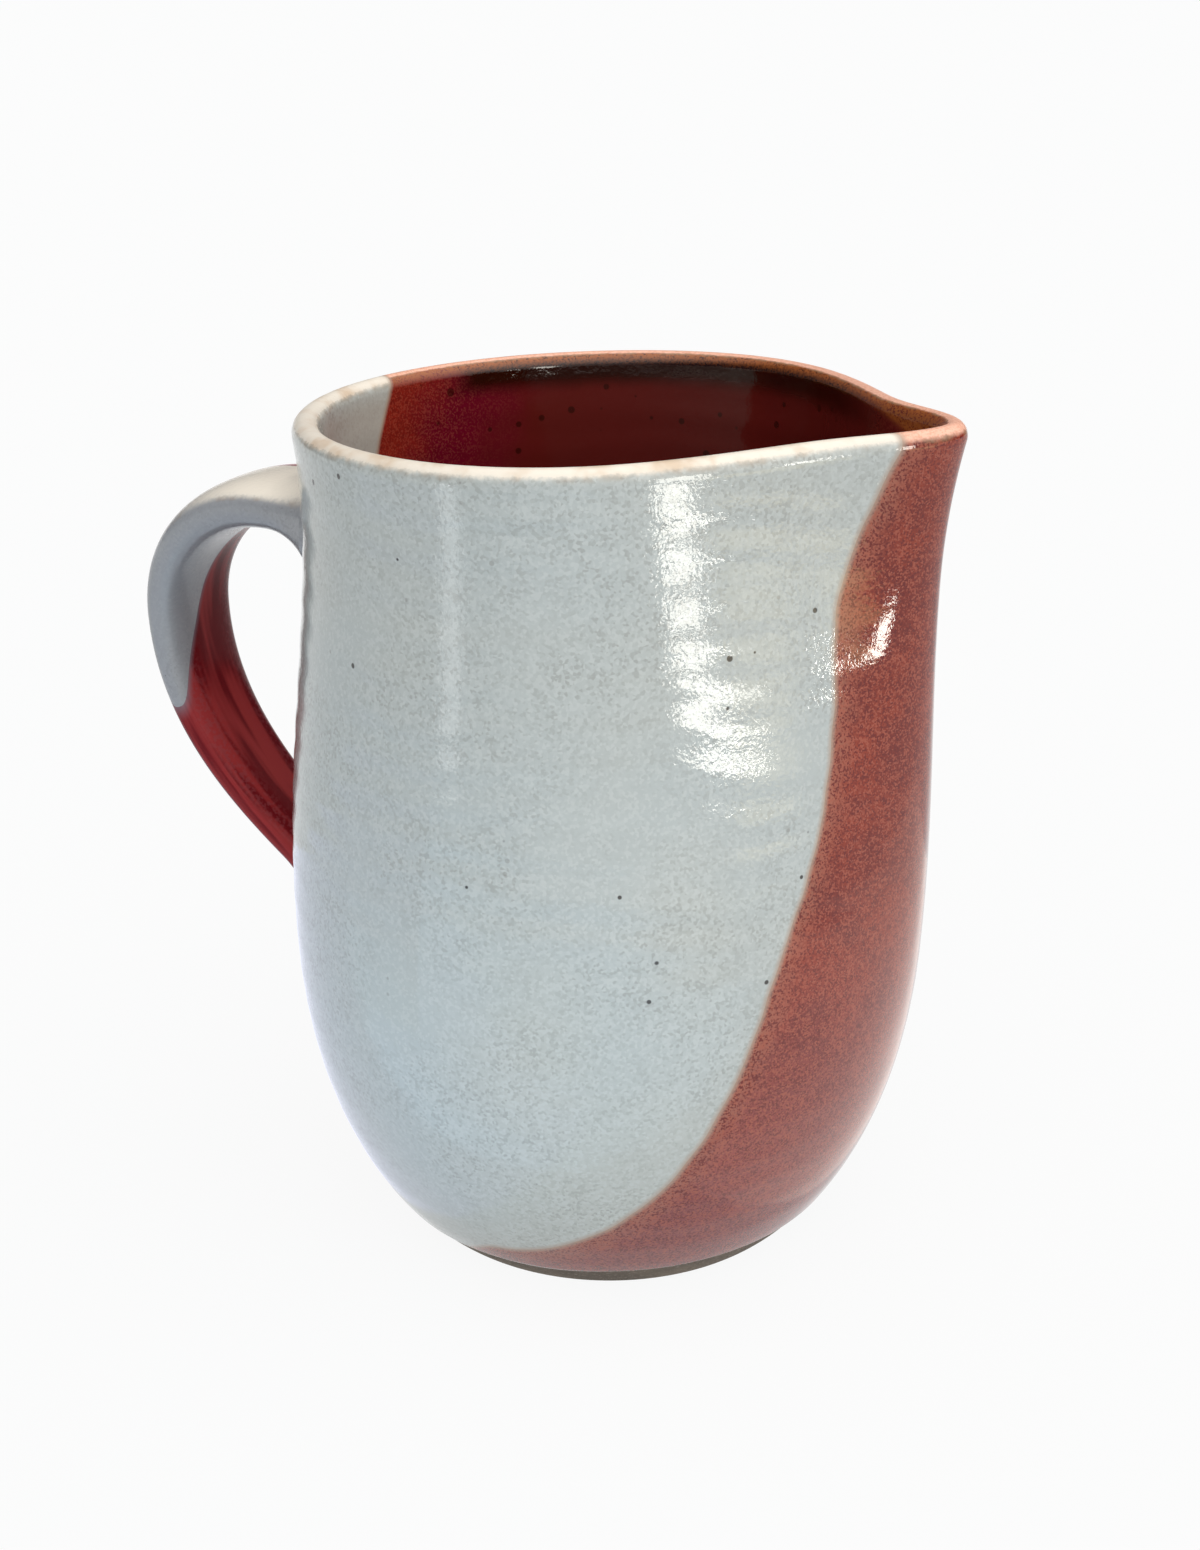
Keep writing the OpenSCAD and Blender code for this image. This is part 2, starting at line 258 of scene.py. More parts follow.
def pull_share(form, z):
    share = (z - form.pull_start_z) / (form.rim_height - form.pull_start_z)
    return np.clip(share, 0, None) ** form.pull_power


def rise_share(form, z):
    return (z / form.rim_height) ** 2


def pulled(form, radius, z, turn):
    """Points of the body once the spout is pulled"""
    r = radius + rim_pull(form, turn) * pull_share(form, z)
    height = z + rim_rise(form, turn) * rise_share(form, z)
    return np.stack([r * np.cos(turn), r * np.sin(turn), height], axis=-1)


def column_turns(form):
    """Angles round the body, closer together at the spout"""
    crowding = math.radians(24)
    even = np.linspace(-math.pi, math.pi, form.columns, endpoint=False)
    return even - crowding * np.sin(even)


def foot_wander(turn):
    """Uneven height of the line where the glaze was wiped off the foot"""
    spout_rise, handle_drop = 17, 6
    lean = np.cos(turn + math.radians(14))
    dip = np.where(lean > 0, spout_rise * lean, handle_drop * lean)
    waves = np.sin(3 * turn + 0.7) + 0.6 * np.sin(7 * turn + 2.1) + 0.4 * np.sin(13 * turn + 4)
    return 0.2 * MM * (dip + waves)


def white_reach(points):
    """How far the white glaze runs past its plane at each point of the body"""
    x, z = points[..., 0], points[..., 2]
    spout_side = 3.1 * bell(z - 112 * MM, 22 * MM) - 2.4 * smooth_step(z, 128 * MM, 152 * MM)
    handle_side = 3.0 * smooth_step(z, 163 * MM, 177 * MM)
    share = smooth_step(x, -20 * MM, 20 * MM)
    low = 7.5 * smooth_step(-x, 0, 16 * MM) * smooth_step(-z, -60 * MM, -26 * MM)
    waver = 0.10 * np.sin(z / (5.5 * MM) + 40 * x) + 0.07 * np.sin(z / (1.9 * MM) + 1.3)
    return MM * (share * spout_side + (1 - share) * handle_side + low + waver)


def strap_reach(points):
    """How far the white glaze runs past its plane on the handle"""
    z = points[..., 2]
    return MM * (-1.9 * bell(z - 100 * MM, 16 * MM) + 0.2 * np.sin(z / (3.1 * MM)))


def line_distance(glaze, points, reach):
    """Distance of points from the line between the glazes, positive on the red side"""
    level = math.cos(glaze.lean)
    heading = [level * math.cos(glaze.heading), level * math.sin(glaze.heading), math.sin(glaze.lean)]
    return glaze.start - reach - points @ np.array(heading)


def profile_heights(form, low):
    """Heights up the outside, round the lip as angles, and down the inside"""
    lip_z = lip_base(form)
    foot = np.linspace(low, low + 3 * MM, 13)
    outside = np.concatenate([foot, np.linspace(low + 3 * MM, lip_z, 196)[1:]])
    lip = np.linspace(0, math.pi, 21)[1:-1]
    throat = np.linspace(lip_z, form.belly_z, 84)
    share = np.linspace(1, 0, 64)[1:-1]
    bowl = form.floor_t + (form.belly_z - form.floor_t) * share**4
    return outside, lip, np.concatenate([throat, bowl])


def body_profile(form, low, turn):
    """Radius and height of the clay on every row and column, and the way from the lip's crest"""
    outside, lip, inside = profile_heights(form, low)
    shift = foot_wander(turn) * np.exp(-(outside[:, None] - low) / (6 * MM))
    out_z = outside[:, None] + (shift if low > 0 else 0) + 0 * turn
    lip_r = outer_radius(form, lip_base(form)) - form.wall_t * (1 - np.cos(lip)) / 2
    lip_z = lip_base(form) + form.lip_h * np.sin(lip)
    flat = np.ones_like(turn)
    radius = np.concatenate(
        [
            outer_radius(form, out_z),
            np.outer(lip_r, flat),
            np.outer(inner_radius(form, inside), flat),
        ]
    )
    z = np.concatenate([out_z, np.outer(lip_z, flat), np.outer(inside, flat)])
    steps = np.hypot(np.diff(radius[:, 0]), np.diff(z[:, 0]))
    way = np.concatenate([[0], np.cumsum(steps)])
    crest = way[np.argmax(z[:, 0])]
    return radius, z, way - crest


def profile_normals(radius, z):
    dr, dz = np.gradient(radius, axis=0), np.gradient(z, axis=0)
    size = np.hypot(dr, dz)
    return dz / size, -dr / size


def grid_faces(rows, columns, cap=None):
    """Quads over rows of points that close on themselves, with a fan to a cap point"""
    i, j = np.meshgrid(np.arange(rows - 1), np.arange(columns), indexing="ij")
    k = (j + 1) % columns
    quads = np.stack(
        [i * columns + j, i * columns + k, (i + 1) * columns + k, (i + 1) * columns + j],
        axis=-1,
    )
    faces = quads.reshape(-1, 4).tolist()
    if cap is not None:
        last = (rows - 1) * columns
        faces += [[last + n, last + (n + 1) % columns, cap] for n in range(columns)]
    return faces


def new_mesh(name, points, faces, **attributes):
    """Mesh object at the origin, with its attributes on its points"""
    mesh = bpy.data.meshes.new(name)
    mesh.from_pydata(np.asarray(points).reshape(-1, 3).tolist(), [], faces)
    for key, values in attributes.items():
        values = np.asarray(values, np.float32)
        kind = "FLOAT_VECTOR" if values.ndim == 2 else "FLOAT"
        field = "vector" if values.ndim == 2 else "value"
        mesh.attributes.new(key, kind, "POINT").data.foreach_set(field, values.ravel())
    mesh.update()
    obj = bpy.data.objects.new(name, mesh)
    bpy.context.scene.collection.objects.link(obj)
    return obj


def smooth_faces(obj, sharp_angle=38):
    obj.data.polygons.foreach_set("use_smooth", [True] * len(obj.data.polygons))
    obj.data.set_sharp_from_angle(angle=math.radians(sharp_angle))


def add_node(tree, kind, inputs=None, **settings):
    """New node with its settings, its input values and its incoming links"""
    node = tree.nodes.new(kind)
    for key, value in settings.items():
        setattr(node, key, value)
    for key, value in (inputs or {}).items():
        if isinstance(value, bpy.types.NodeSocket):
            tree.links.new(value, node.inputs[key])
        else:
            node.inputs[key].default_value = value
    return node


def calc(tree, operation, first, second=0.0):
    node = add_node(tree, "ShaderNodeMath", {0: first, 1: second}, operation=operation)
    return node.outputs[0]


def times(tree, first, second):
    return calc(tree, "MULTIPLY", first, second)


def plus(tree, first, second):
    return calc(tree, "ADD", first, second)


def minus(tree, first, second):
    return calc(tree, "SUBTRACT", first, second)


def swing(tree, noise, reach):
    """Noise about 0.5 turned into a shift to both sides of nothing"""
    return times(tree, minus(tree, noise, 0.5), reach)


def ease(tree, value, low, high, top=1.0):
    """From 0 at low to the top value at high, with soft ends"""
    settings = {"interpolation_type": "SMOOTHSTEP"}
    inputs = {"Value": value, "From Min": low, "From Max": high, "To Max": top}
    return add_node(tree, "ShaderNodeMapRange", inputs, **settings).outputs["Result"]


def tint(tree, factor, under, over, blend_type="MIX"):
    """Colour over another by a factor"""
    settings = {"data_type": "RGBA", "blend_type": blend_type}
    ends = [tuple(c) + (1.0,) if not isinstance(c, bpy.types.NodeSocket) else c for c in (under, over)]
    node = add_node(tree, "ShaderNodeMix", {0: factor, 6: ends[0], 7: ends[1]}, **settings)
    return node.outputs[2]


def grain(tree, place, scale, detail=2.0, roughness=0.55):
    """Noise with features of about one over its scale, in metres"""
    inputs = {"Vector": place, "Scale": scale, "Detail": detail, "Roughness": roughness}
    return add_node(tree, "ShaderNodeTexNoise", inputs).outputs["Fac"]


def grit(tree, place, scale, clump):
    """Level of each small grain, random in clumps, about 0.5"""
    cell = add_node(tree, "ShaderNodeTexVoronoi", {"Vector": place, "Scale": scale})
    level = add_node(tree, "ShaderNodeSeparateColor", {"Color": cell.outputs["Color"]}).outputs["Red"]
    single = times(tree, level, 0.62)
    return plus(tree, single, times(tree, grain(tree, place, clump, 2.0, 0.5), 0.38))


def spots(tree, place, scale, size, share):
    """Round spots in some of the cells, up to a size given in cells"""
    cell = add_node(tree, "ShaderNodeTexVoronoi", {"Vector": place, "Scale": scale})
    chance = add_node(tree, "ShaderNodeSeparateColor", {"Color": cell.outputs["Color"]})
    present = calc(tree, "LESS_THAN", chance.outputs["Red"], share)
    reach = times(tree, chance.outputs["Green"], size)
    inside = minus(tree, reach, cell.outputs["Distance"])
    return times(tree, present, ease(tree, inside, 0.0, 0.25 * size))


def stretched(tree, place, scale):
    return add_node(tree, "ShaderNodeMapping", {"Vector": place, "Scale": scale}).outputs["Vector"]


def axis(tree, place, name):
    return add_node(tree, "ShaderNodeSeparateXYZ", {"Vector": place}).outputs[name]


def attribute(tree, name):
    return add_node(tree, "ShaderNodeAttribute", attribute_name=name).outputs["Fac"]


def relief(tree, height, distance, strength=1.0, under=None):
    inputs = {"Height": height, "Distance": distance, "Strength": strength}
    if under is not None:
        inputs["Normal"] = under
    return add_node(tree, "ShaderNodeBump", inputs).outputs["Normal"]


def mix_shaders(tree, factor, first, second):
    sockets = {0: factor, 1: first.outputs[0], 2: second.outputs[0]}
    return add_node(tree, "ShaderNodeMixShader", sockets).outputs[0]


def begin_material(name, **values):
    """Material with one shader, whose plain values are set on its sockets"""
    material = bpy.data.materials.new(name)
    material.use_nodes = True
    tree = material.node_tree
    shader = tree.nodes["Principled BSDF"]
    for key, value in values.items():
        shader.inputs[key.replace("_", " ")].default_value = value
    place = add_node(tree, "ShaderNodeTexCoord").outputs["Object"]
    return material, tree, shader, place


def connect(tree, shader, **sockets):
    for key, socket in sockets.items():
        tree.links.new(socket, shader.inputs[key.replace("_", " ")])


def glaze_surface(tree, place, depth=0.13 * MM):
    """Fine unevenness of fired glass: level ripples and a soft peel"""
    ripples = grain(tree, stretched(tree, place, (1.0, 1.0, 1.8)), 120.0, 2.0)
    peel = grain(tree, place, 1000.0, 2.0)
    soft = relief(tree, ripples, 0.12 * MM, 0.5)
    return relief(tree, peel, depth, 0.5, soft)


def lip_band(tree, place, under, tones, patch, brown, brown_share, inner=1.0):
    """Lip where the glaze breaks over the clay, with a ragged brown edge, and how bare it is"""
    crest = attribute(tree, "crest")
    away = calc(tree, "MAXIMUM", times(tree, crest, -1.0), times(tree, crest, inner))
    break_up = grain(tree, place, 700.0, 3.0, 0.65)
    jag = swing(tree, break_up, 1.0 * MM)
    ragged = plus(tree, away, jag)
    bare = ease(tree, ragged, 2.7 * MM, 1.7 * MM)
    lipped = tint(tree, bare, under, tint(tree, patch, *tones))
    near = ease(tree, ragged, 1.7 * MM, 2.4 * MM)
    past = ease(tree, ragged, 3.2 * MM, 2.5 * MM)
    broken = ease(tree, grain(tree, place, 240.0, 2.0), 0.38, 0.60)
    edge = times(tree, times(tree, near, past), broken)
    return tint(tree, times(tree, edge, brown_share), lipped, brown), bare


def meet_line(tree, under, glaze):
    """Thin seam where the two glazes run into each other"""
    away = calc(tree, "ABSOLUTE", attribute(tree, "line"))
    return tint(tree, ease(tree, away, 1.1 * MM, 0.0, 0.75), under, glaze.seam)


def white_speckle(tree, place, glaze):
    """Cool white with soft grey-brown and pale specks and a few iron spots, and its mottle"""
    cloud = grain(tree, place, 12.0, 2.0)
    base = tint(tree, ease(tree, cloud, 0.36, 0.66), glaze.white, glaze.white_warm)
    mottle = grit(tree, place, 1700.0, 260.0)
    density = ease(tree, grain(tree, place, 32.0, 2.0), 0.25, 0.62)
    dark = times(tree, ease(tree, mottle, 0.52, 0.84), times(tree, density, 0.45))
    specked = tint(tree, dark, base, glaze.speck)
    light = ease(tree, mottle, 0.48, 0.22, 0.45)
    mottled = tint(tree, light, specked, glaze.pale)
    dots = times(tree, spots(tree, place, 230.0, 0.13, 0.24), 0.5)
    dotted = tint(tree, dots, mottled, glaze.speck)
    iron = times(tree, spots(tree, place, 125.0, 0.10, 0.8), 0.9)
    return tint(tree, iron, dotted, glaze.iron), mottle


def white_material(glaze):
    material, tree, shader, place = begin_material("white_glaze", IOR=1.5)
    speckled, mottle = white_speckle(tree, place, glaze)
    within = ease(tree, attribute(tree, "crest"), 1.5 * MM, 7 * MM, 0.6)
    sides = tint(tree, within, speckled, glaze.inner_white)
    flush = ease(tree, grain(tree, place, 120.0, 3.0), 0.42, 0.70)
    tones = (glaze.cream, glaze.blush)
    lipped, bare = lip_band(tree, place, sides, tones, flush, glaze.lip_brown, 0.32)
    final = meet_line(tree, lipped, glaze)
    gloss = plus(tree, times(tree, mottle, 0.06), 0.03)
    rough = plus(tree, gloss, times(tree, bare, 0.26))
    connect(tree, shader, Base_Color=final, Roughness=rough, Normal=glaze_surface(tree, place))
    return material


def red_outside(tree, place, glaze, sand):
    """Granular brick red, paler along the line, and mauve towards the foot as a painted reflection of the
    pale floor
    """
    line = attribute(tree, "line")
    height = axis(tree, place, "Z")
    cloud = grain(tree, place, 70.0, 3.0)
    patch = grain(tree, place, 300.0, 2.0)
    deep = ease(tree, cloud, 0.60, 0.38, 0.6)
    brick = tint(tree, deep, glaze.brick, glaze.brick_dark)
    # Mauve rising from the foot is a painted reflection of the pale floor in the red glaze
    low = ease(tree, height, 105 * MM, 10 * MM, 0.7)
    sheened = tint(tree, low, brick, glaze.mauve_sheen_and_wear)
    waver = swing(tree, patch, 4 * MM)
    along = ease(tree, plus(tree, line, waver), 6.5 * MM, -1.5 * MM)
    fringed = tint(tree, times(tree, along, ease(tree, sand, 0.10, 0.65)), sheened, glaze.fringe)
    pale = ease(tree, sand, 0.50, 0.76, 0.80)
    grainy = tint(tree, pale, fringed, glaze.rose)
    return tint(tree, ease(tree, sand, 0.48, 0.24, 0.85), grainy, glaze.brick_dark)


def red_inside(tree, place, glaze, sand):
    """Oxblood with rust along the white, a plum bloom, dark spots, and dark and amber bands on top"""
    line, crest = attribute(tree, "line"), attribute(tree, "crest")
    sway = swing(tree, grain(tree, place, 120.0, 3.0), 16 * MM)
    way = plus(tree, line, sway)
    across = axis(tree, place, "X")
    bloom = times(tree, ease(tree, way, 42 * MM, 22 * MM), ease(tree, across, 10 * MM, -20 * MM))
    blood = tint(tree, bloom, glaze.oxblood, glaze.plum)
    rusty = tint(tree, ease(tree, way, 20 * MM, 5 * MM), blood, glaze.rust)
    grains = times(tree, ease(tree, sand, 0.50, 0.68), ease(tree, way, 40 * MM, 14 * MM))
    speckled = tint(tree, times(tree, grains, 0.28), rusty, glaze.rose)
    dark = times(tree, ease(tree, sand, 0.46, 0.34), ease(tree, way, 40 * MM, 10 * MM))
    grainy = tint(tree, times(tree, dark, 0.45), speckled, glaze.oxblood)
    dark_spots = times(tree, spots(tree, place, 230.0, 0.26, 0.85), 0.7)
    spotted = tint(tree, dark_spots, grainy, glaze.near_black)
    below = plus(tree, crest, times(tree, sway, 0.10))
    off_spout = ease(tree, across, 54 * MM, 34 * MM)
    # Darker band just under the red lip on the inside, fading downwards and towards the spout
    band = times(tree, ease(tree, below, 9.5 * MM, 5.0 * MM), ease(tree, way, 12 * MM, 26 * MM))
    banded = tint(tree, times(tree, band, off_spout), spotted, glaze.near_black)
    rubbed = plus(tree, crest, swing(tree, sand, 1.6 * MM))
    thrown = minus(tree, rubbed, ease(tree, across, 46 * MM, 66 * MM, 5 * MM))
    browned = times(tree, ease(tree, thrown, 3.4 * MM, 1.8 * MM), ease(tree, sand, 0.05, 0.60))
    return tint(tree, browned, banded, glaze.amber)


def red_material(glaze):
    material, tree, shader, place = begin_material("red_glaze", IOR=1.5)
    sand = grit(tree, place, 2900.0, 420.0)
    outside = red_outside(tree, place, glaze, sand)
    inside = red_inside(tree, place, glaze, sand)
    sides = tint(tree, calc(tree, "GREATER_THAN", attribute(tree, "crest"), 0.0), outside, inside)
    tones = (glaze.salmon, glaze.salmon_dark)
    patch = ease(tree, sand, 0.40, 0.75)
    lipped, bare = lip_band(tree, place, sides, tones, patch, glaze.lip_brown, 0.55, 2.0)
    final = meet_line(tree, lipped, glaze)
    gloss = plus(tree, times(tree, sand, 0.07), 0.03)
    rough = plus(tree, gloss, times(tree, bare, 0.24))
    surface = glaze_surface(tree, place, 0.05 * MM)
    connect(tree, shader, Base_Color=final, Roughness=rough, Normal=surface)
    return material


def strap_red_material(glaze):
    material, tree, shader, place = begin_material("red_glaze_strap", IOR=1.5, Specular_IOR_Level=0.05)
    across = axis(tree, place, "Y")
    stripe_inputs = {
        "X": times(tree, attribute(tree, "along"), 0.10),
        "Y": across,
        "Z": times(tree, attribute(tree, "face"), 12 * MM),
    }
    stripe_place = add_node(tree, "ShaderNodeCombineXYZ", stripe_inputs).outputs["Vector"]
    stripes = grain(tree, stripe_place, 190.0, 2.0)
    sand = grain(tree, place, 1000.0, 1.0, 0.5)
    base = tint(tree, ease(tree, stripes, 0.58, 0.42), glaze.cherry, glaze.cherry_dark)
    edges = times(tree, attribute(tree, "edge"), ease(tree, sand, 0.44, 0.60))
    worn = tint(tree, times(tree, edges, 0.45), base, glaze.mauve_sheen_and_wear)
    # Near the line the red handle turns to the handle's darker white, which carries painted shade
    veil = ease(tree, attribute(tree, "line"), 1.6 * MM, -0.6 * MM, 0.7)
    final = tint(tree, veil, worn, glaze.shaded_thin_white)
    rough = plus(tree, times(tree, sand, 0.16), 0.12)
    soft = relief(tree, grain(tree, place, 220.0, 2.0), 0.12 * MM, 0.5)
    connect(tree, shader, Base_Color=final, Roughness=rough, Normal=soft)
    return material


def strap_white_material(glaze):
    material, tree, shader, place = begin_material("white_glaze_strap", IOR=1.5)
    thick, mottle = white_speckle(tree, place, glaze)
    # Two thirds of the handle's white is the darker handle white, as painted shade on the handle
    speckled = tint(tree, 0.66, thick, glaze.shaded_thin_white)
    jag = swing(tree, mottle, 0.1)
    upward = plus(tree, attribute(tree, "upward"), jag)
    root = plus(tree, ease(tree, attribute(tree, "along"), 46 * MM, 20 * MM, 0.6), 0.4)
    rubbed = times(tree, ease(tree, upward, 0.45, 0.85), root)
    worn = tint(tree, rubbed, speckled, glaze.cream)
    edge = times(tree, ease(tree, upward, 0.40, 0.56), ease(tree, upward, 0.76, 0.60))
    broken = times(tree, edge, ease(tree, grain(tree, place, 200.0, 2.0), 0.46, 0.64))
    edged = tint(tree, times(tree, broken, 0.25), worn, glaze.lip_brown)
    rough = plus(tree, times(tree, mottle, 0.16), 0.12)
    connect(tree, shader, Base_Color=edged, Roughness=rough, Normal=glaze_surface(tree, place))
    return material


def clay_material(name, glaze, lighter=1.0):
    material, tree, shader, place = begin_material(name, IOR=1.45)
    base = tuple(min(1.0, c * lighter) for c in glaze.clay)
    dark = tuple(c * 0.55 for c in base)
    cloud = grain(tree, place, 60.0, 3.0)
    sand = grain(tree, place, 1400.0, 3.0, 0.65)
    toned = tint(tree, ease(tree, cloud, 0.38, 0.66), base, dark)
    sandy = tint(tree, ease(tree, sand, 0.52, 0.70, 0.55), toned, glaze.clay_sand)
    grog = spots(tree, place, 380.0, 0.30, 0.30)
    final = tint(tree, times(tree, grog, 0.7), sandy, dark)
    rough = plus(tree, times(tree, sand, 0.20), 0.68)
    pits = relief(tree, sand, 0.25 * MM, 0.8)
    rubbed = relief(tree, grog, 0.2 * MM, 0.6, pits)
    connect(tree, shader, Base_Color=final, Roughness=rough, Normal=rubbed)
    return material


def seeded_grain(tree, place, seed, scale, detail):
    inputs = {"Vector": place, "W": seed, "Scale": scale, "Detail": detail}
    return add_node(tree, "ShaderNodeTexNoise", inputs, noise_dimensions="4D").outputs[0]


def ridge_tree(material):
    """Throwing ridges: a spiral that rises and falls along the normal, uneven by a seeded noise"""
    tree = bpy.data.node_groups.new("throwing_ridges", "GeometryNodeTree")
    tree.interface.new_socket("Geometry", in_out="INPUT", socket_type="NodeSocketGeometry")
    for name in ("Pitch", "Depth", "Seed"):
        tree.interface.new_socket(name, in_out="INPUT", socket_type="NodeSocketFloat")
    tree.interface.new_socket("Geometry", in_out="OUTPUT", socket_type="NodeSocketGeometry")
    given = add_node(tree, "NodeGroupInput")
    place = add_node(tree, "GeometryNodeInputPosition").outputs[0]
    axes = add_node(tree, "ShaderNodeSeparateXYZ", {"Vector": place})
    turn = calc(tree, "ARCTAN2", axes.outputs["Y"], axes.outputs["X"])
    sway = seeded_grain(tree, place, given.outputs["Seed"], 16.0, 2.0)
    swell = seeded_grain(tree, place, given.outputs["Seed"], 30.0, 1.0)
    climb = calc(tree, "DIVIDE", axes.outputs["Z"], given.outputs["Pitch"])
    wound = plus(tree, climb, calc(tree, "DIVIDE", turn, 2 * math.pi))
    swayed = plus(tree, wound, times(tree, sway, 2.4))
    wave = calc(tree, "SINE", times(tree, swayed, 2 * math.pi))
    fade_inputs = {"Name": "ridge"}
    fade = add_node(tree, "GeometryNodeInputNamedAttribute", fade_inputs, data_type="FLOAT").outputs[0]
    size = times(tree, times(tree, given.outputs["Depth"], fade), swell)
    normal = add_node(tree, "GeometryNodeInputNormal").outputs[0]
    scale_inputs = {0: normal, "Scale": times(tree, wave, size)}
    offset = add_node(tree, "ShaderNodeVectorMath", scale_inputs, operation="SCALE").outputs[0]
    set_inputs = {"Geometry": given.outputs["Geometry"], "Offset": offset}
    moved = add_node(tree, "GeometryNodeSetPosition", set_inputs).outputs[0]
    real = add_node(tree, "GeometryNodeRealizeInstances", {"Geometry": moved}).outputs[0]
    dressed = add_node(tree, "GeometryNodeSetMaterial", {"Geometry": real, "Material": material})
    add_node(tree, "NodeGroupOutput", {"Geometry": dressed.outputs[0]})
    return tree


def apply_tree(obj, tree, **sizes):
    """Runs a node tree on an object and leaves its result as a plain mesh"""
    modifier = obj.modifiers.new(tree.name, "NODES")
    modifier.node_group = tree
    for item in tree.interface.items_tree:
        if item.in_out == "INPUT" and item.name.lower() in sizes:
            modifier[item.identifier] = float(sizes[item.name.lower()])
    depsgraph = bpy.context.evaluated_depsgraph_get()
    made = bpy.data.meshes.new_from_object(obj.evaluated_get(depsgraph))
    obj.modifiers.remove(modifier)
    obj.data = made


def cut_at_line(obj):
    """Cuts a skin where its line attribute is zero and returns its points, attributes and faces"""
    mesh = bmesh.new()
    mesh.from_mesh(obj.data)
    layers = mesh.verts.layers
    line = layers.float["line"]
    glass = layers.float_vector.new("glass")
    for vert in mesh.verts:
        vert[glass] = vert.co
        vert.co = (vert[line], vert.co.x, vert.co.z)
    everything = mesh.verts[:] + mesh.edges[:] + mesh.faces[:]
    bmesh.ops.bisect_plane(mesh, geom=everything, dist=1e-7, plane_co=(0, 0, 0), plane_no=(1, 0, 0))
    mesh.verts.index_update()
    names = [key for key in layers.float.keys() if key != "ridge"]
    values = {key: np.array([v[layers.float[key]] for v in mesh.verts]) for key in names}
    clay = layers.float_vector["clay"]
    points = np.array([v[layers.float_vector["glass"]][:] for v in mesh.verts])
    backs = np.array([v[clay][:] for v in mesh.verts])
    faces = [[v.index for v in face.verts] for face in mesh.faces]
    mesh.free()
    return points, backs, values, faces


def glass_shell(name, points, backs, values, faces):
    """Closed coat between its glass face and the clay behind it"""
    used = sorted({n for face in faces for n in face})
    index = {old: new for new, old in enumerate(used)}
    front = [[index[n] for n in face] for face in faces]
    count = len(used)
    edges = {}
    for face in front:
        for a, b in zip(face, face[1:] + face[:1]):
            edges[(a, b)] = True
    rims = [[b, a, a + count, b + count] for a, b in edges if (b, a) not in edges]
    back = [[n + count for n in reversed(face)] for face in front]
    both = np.concatenate([points[used], backs[used]])
    doubled = {key: np.concatenate([v[used], v[used]]) for key, v in values.items()}
    obj = new_mesh(name, both, front + back + rims, **doubled)
    smooth_faces(obj)
    return obj


def split_glaze(skin, white_name, red_name):
    """White and red coats of one glazed skin"""
    points, backs, values, faces = cut_at_line(skin)
    side = [values["line"][face].mean() for face in faces]
    white = [face for face, s in zip(faces, side) if s < 0]
    red = [face for face, s in zip(faces, side) if s >= 0]
    bpy.data.objects.remove(skin)
    return (
        glass_shell(white_name, points, backs, values, white),
        glass_shell(red_name, points, backs, values, red),
    )


def seat(obj, material, slot, *nodes):
    """Gives a finished piece its material and its body, and hides the solids that it stands for. Its slot
    is not used.
    """
    obj.data.materials.clear()
    obj.data.materials.append(material)
    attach(obj, BODY)
    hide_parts(*nodes)


class PITCHER_OT_clay(bpy.types.Operator):
    """Make the smooth clay body with its wire-cut foot"""

    bl_idname = "pitcher.clay"
    bl_label = "Clay Body"

    def execute(self, context):
        form, glaze = pitcher().body, pitcher().glaze
        turn = column_turns(form)
        bevel = 0.7 * MM
        radius, z, _ = body_profile(form, 0.0, turn)
        upper = pulled(form, radius, z, turn)
        corner = np.linspace(0, math.pi / 2, 7)
        ring_r = form.foot_d / 2 - bevel * (1 - np.sin(corner))
        ring_z = bevel * (1 - np.cos(corner))
        share = np.linspace(0, 1, 60)[1:]
        under_r = (form.foot_d / 2 - bevel) * share
        marks = self.wire_marks(form, under_r, turn)
        under_x, under_y = np.outer(under_r, np.cos(turn)), np.outer(under_r, np.sin(turn))
        under = np.stack([under_x, under_y, marks], axis=-1)
        flat = np.ones_like(turn)
        foot = pulled(form, np.outer(ring_r, flat), np.outer(ring_z, flat), turn)
        keep = z[:, 0] > bevel
        keep[np.argmax(z[:, 0]):] = True
        rows = np.concatenate([under, foot[1:], upper[keep]])
        ends = [[0, 0, form.floor_t], [0, 0, 0]]
        points = np.concatenate([rows.reshape(-1, 3), ends])
        row_count, columns = rows.shape[:2]
        count = row_count * columns
        faces = grid_faces(row_count, columns, count)
        faces += [[count + 1, (n + 1) % columns, n] for n in range(columns)]
        obj = new_mesh("clay_body", points, faces)
        smooth_faces(obj)
        seat(obj, clay_material("fired_clay", glaze), "clay", "body")
        return {"FINISHED"}

    @staticmethod
    def wire_marks(form, radius, turn):
        """Curved marks that the cutting wire leaves under the foot, fading out at its edge"""
        x, y = np.outer(radius, np.cos(turn)), np.outer(radius, np.sin(turn))
        wire_x, wire_y = 90 * MM, -50 * MM
        away = np.hypot(x - wire_x, y - wire_y)
        waves = 0.5 - 0.5 * np.cos(2 * math.pi * away / form.wire_pitch)
        fade = smooth_step(form.foot_d / 2 - np.hypot(x, y), 1.0 * MM, 6 * MM)
        return form.wire_depth * waves * fade


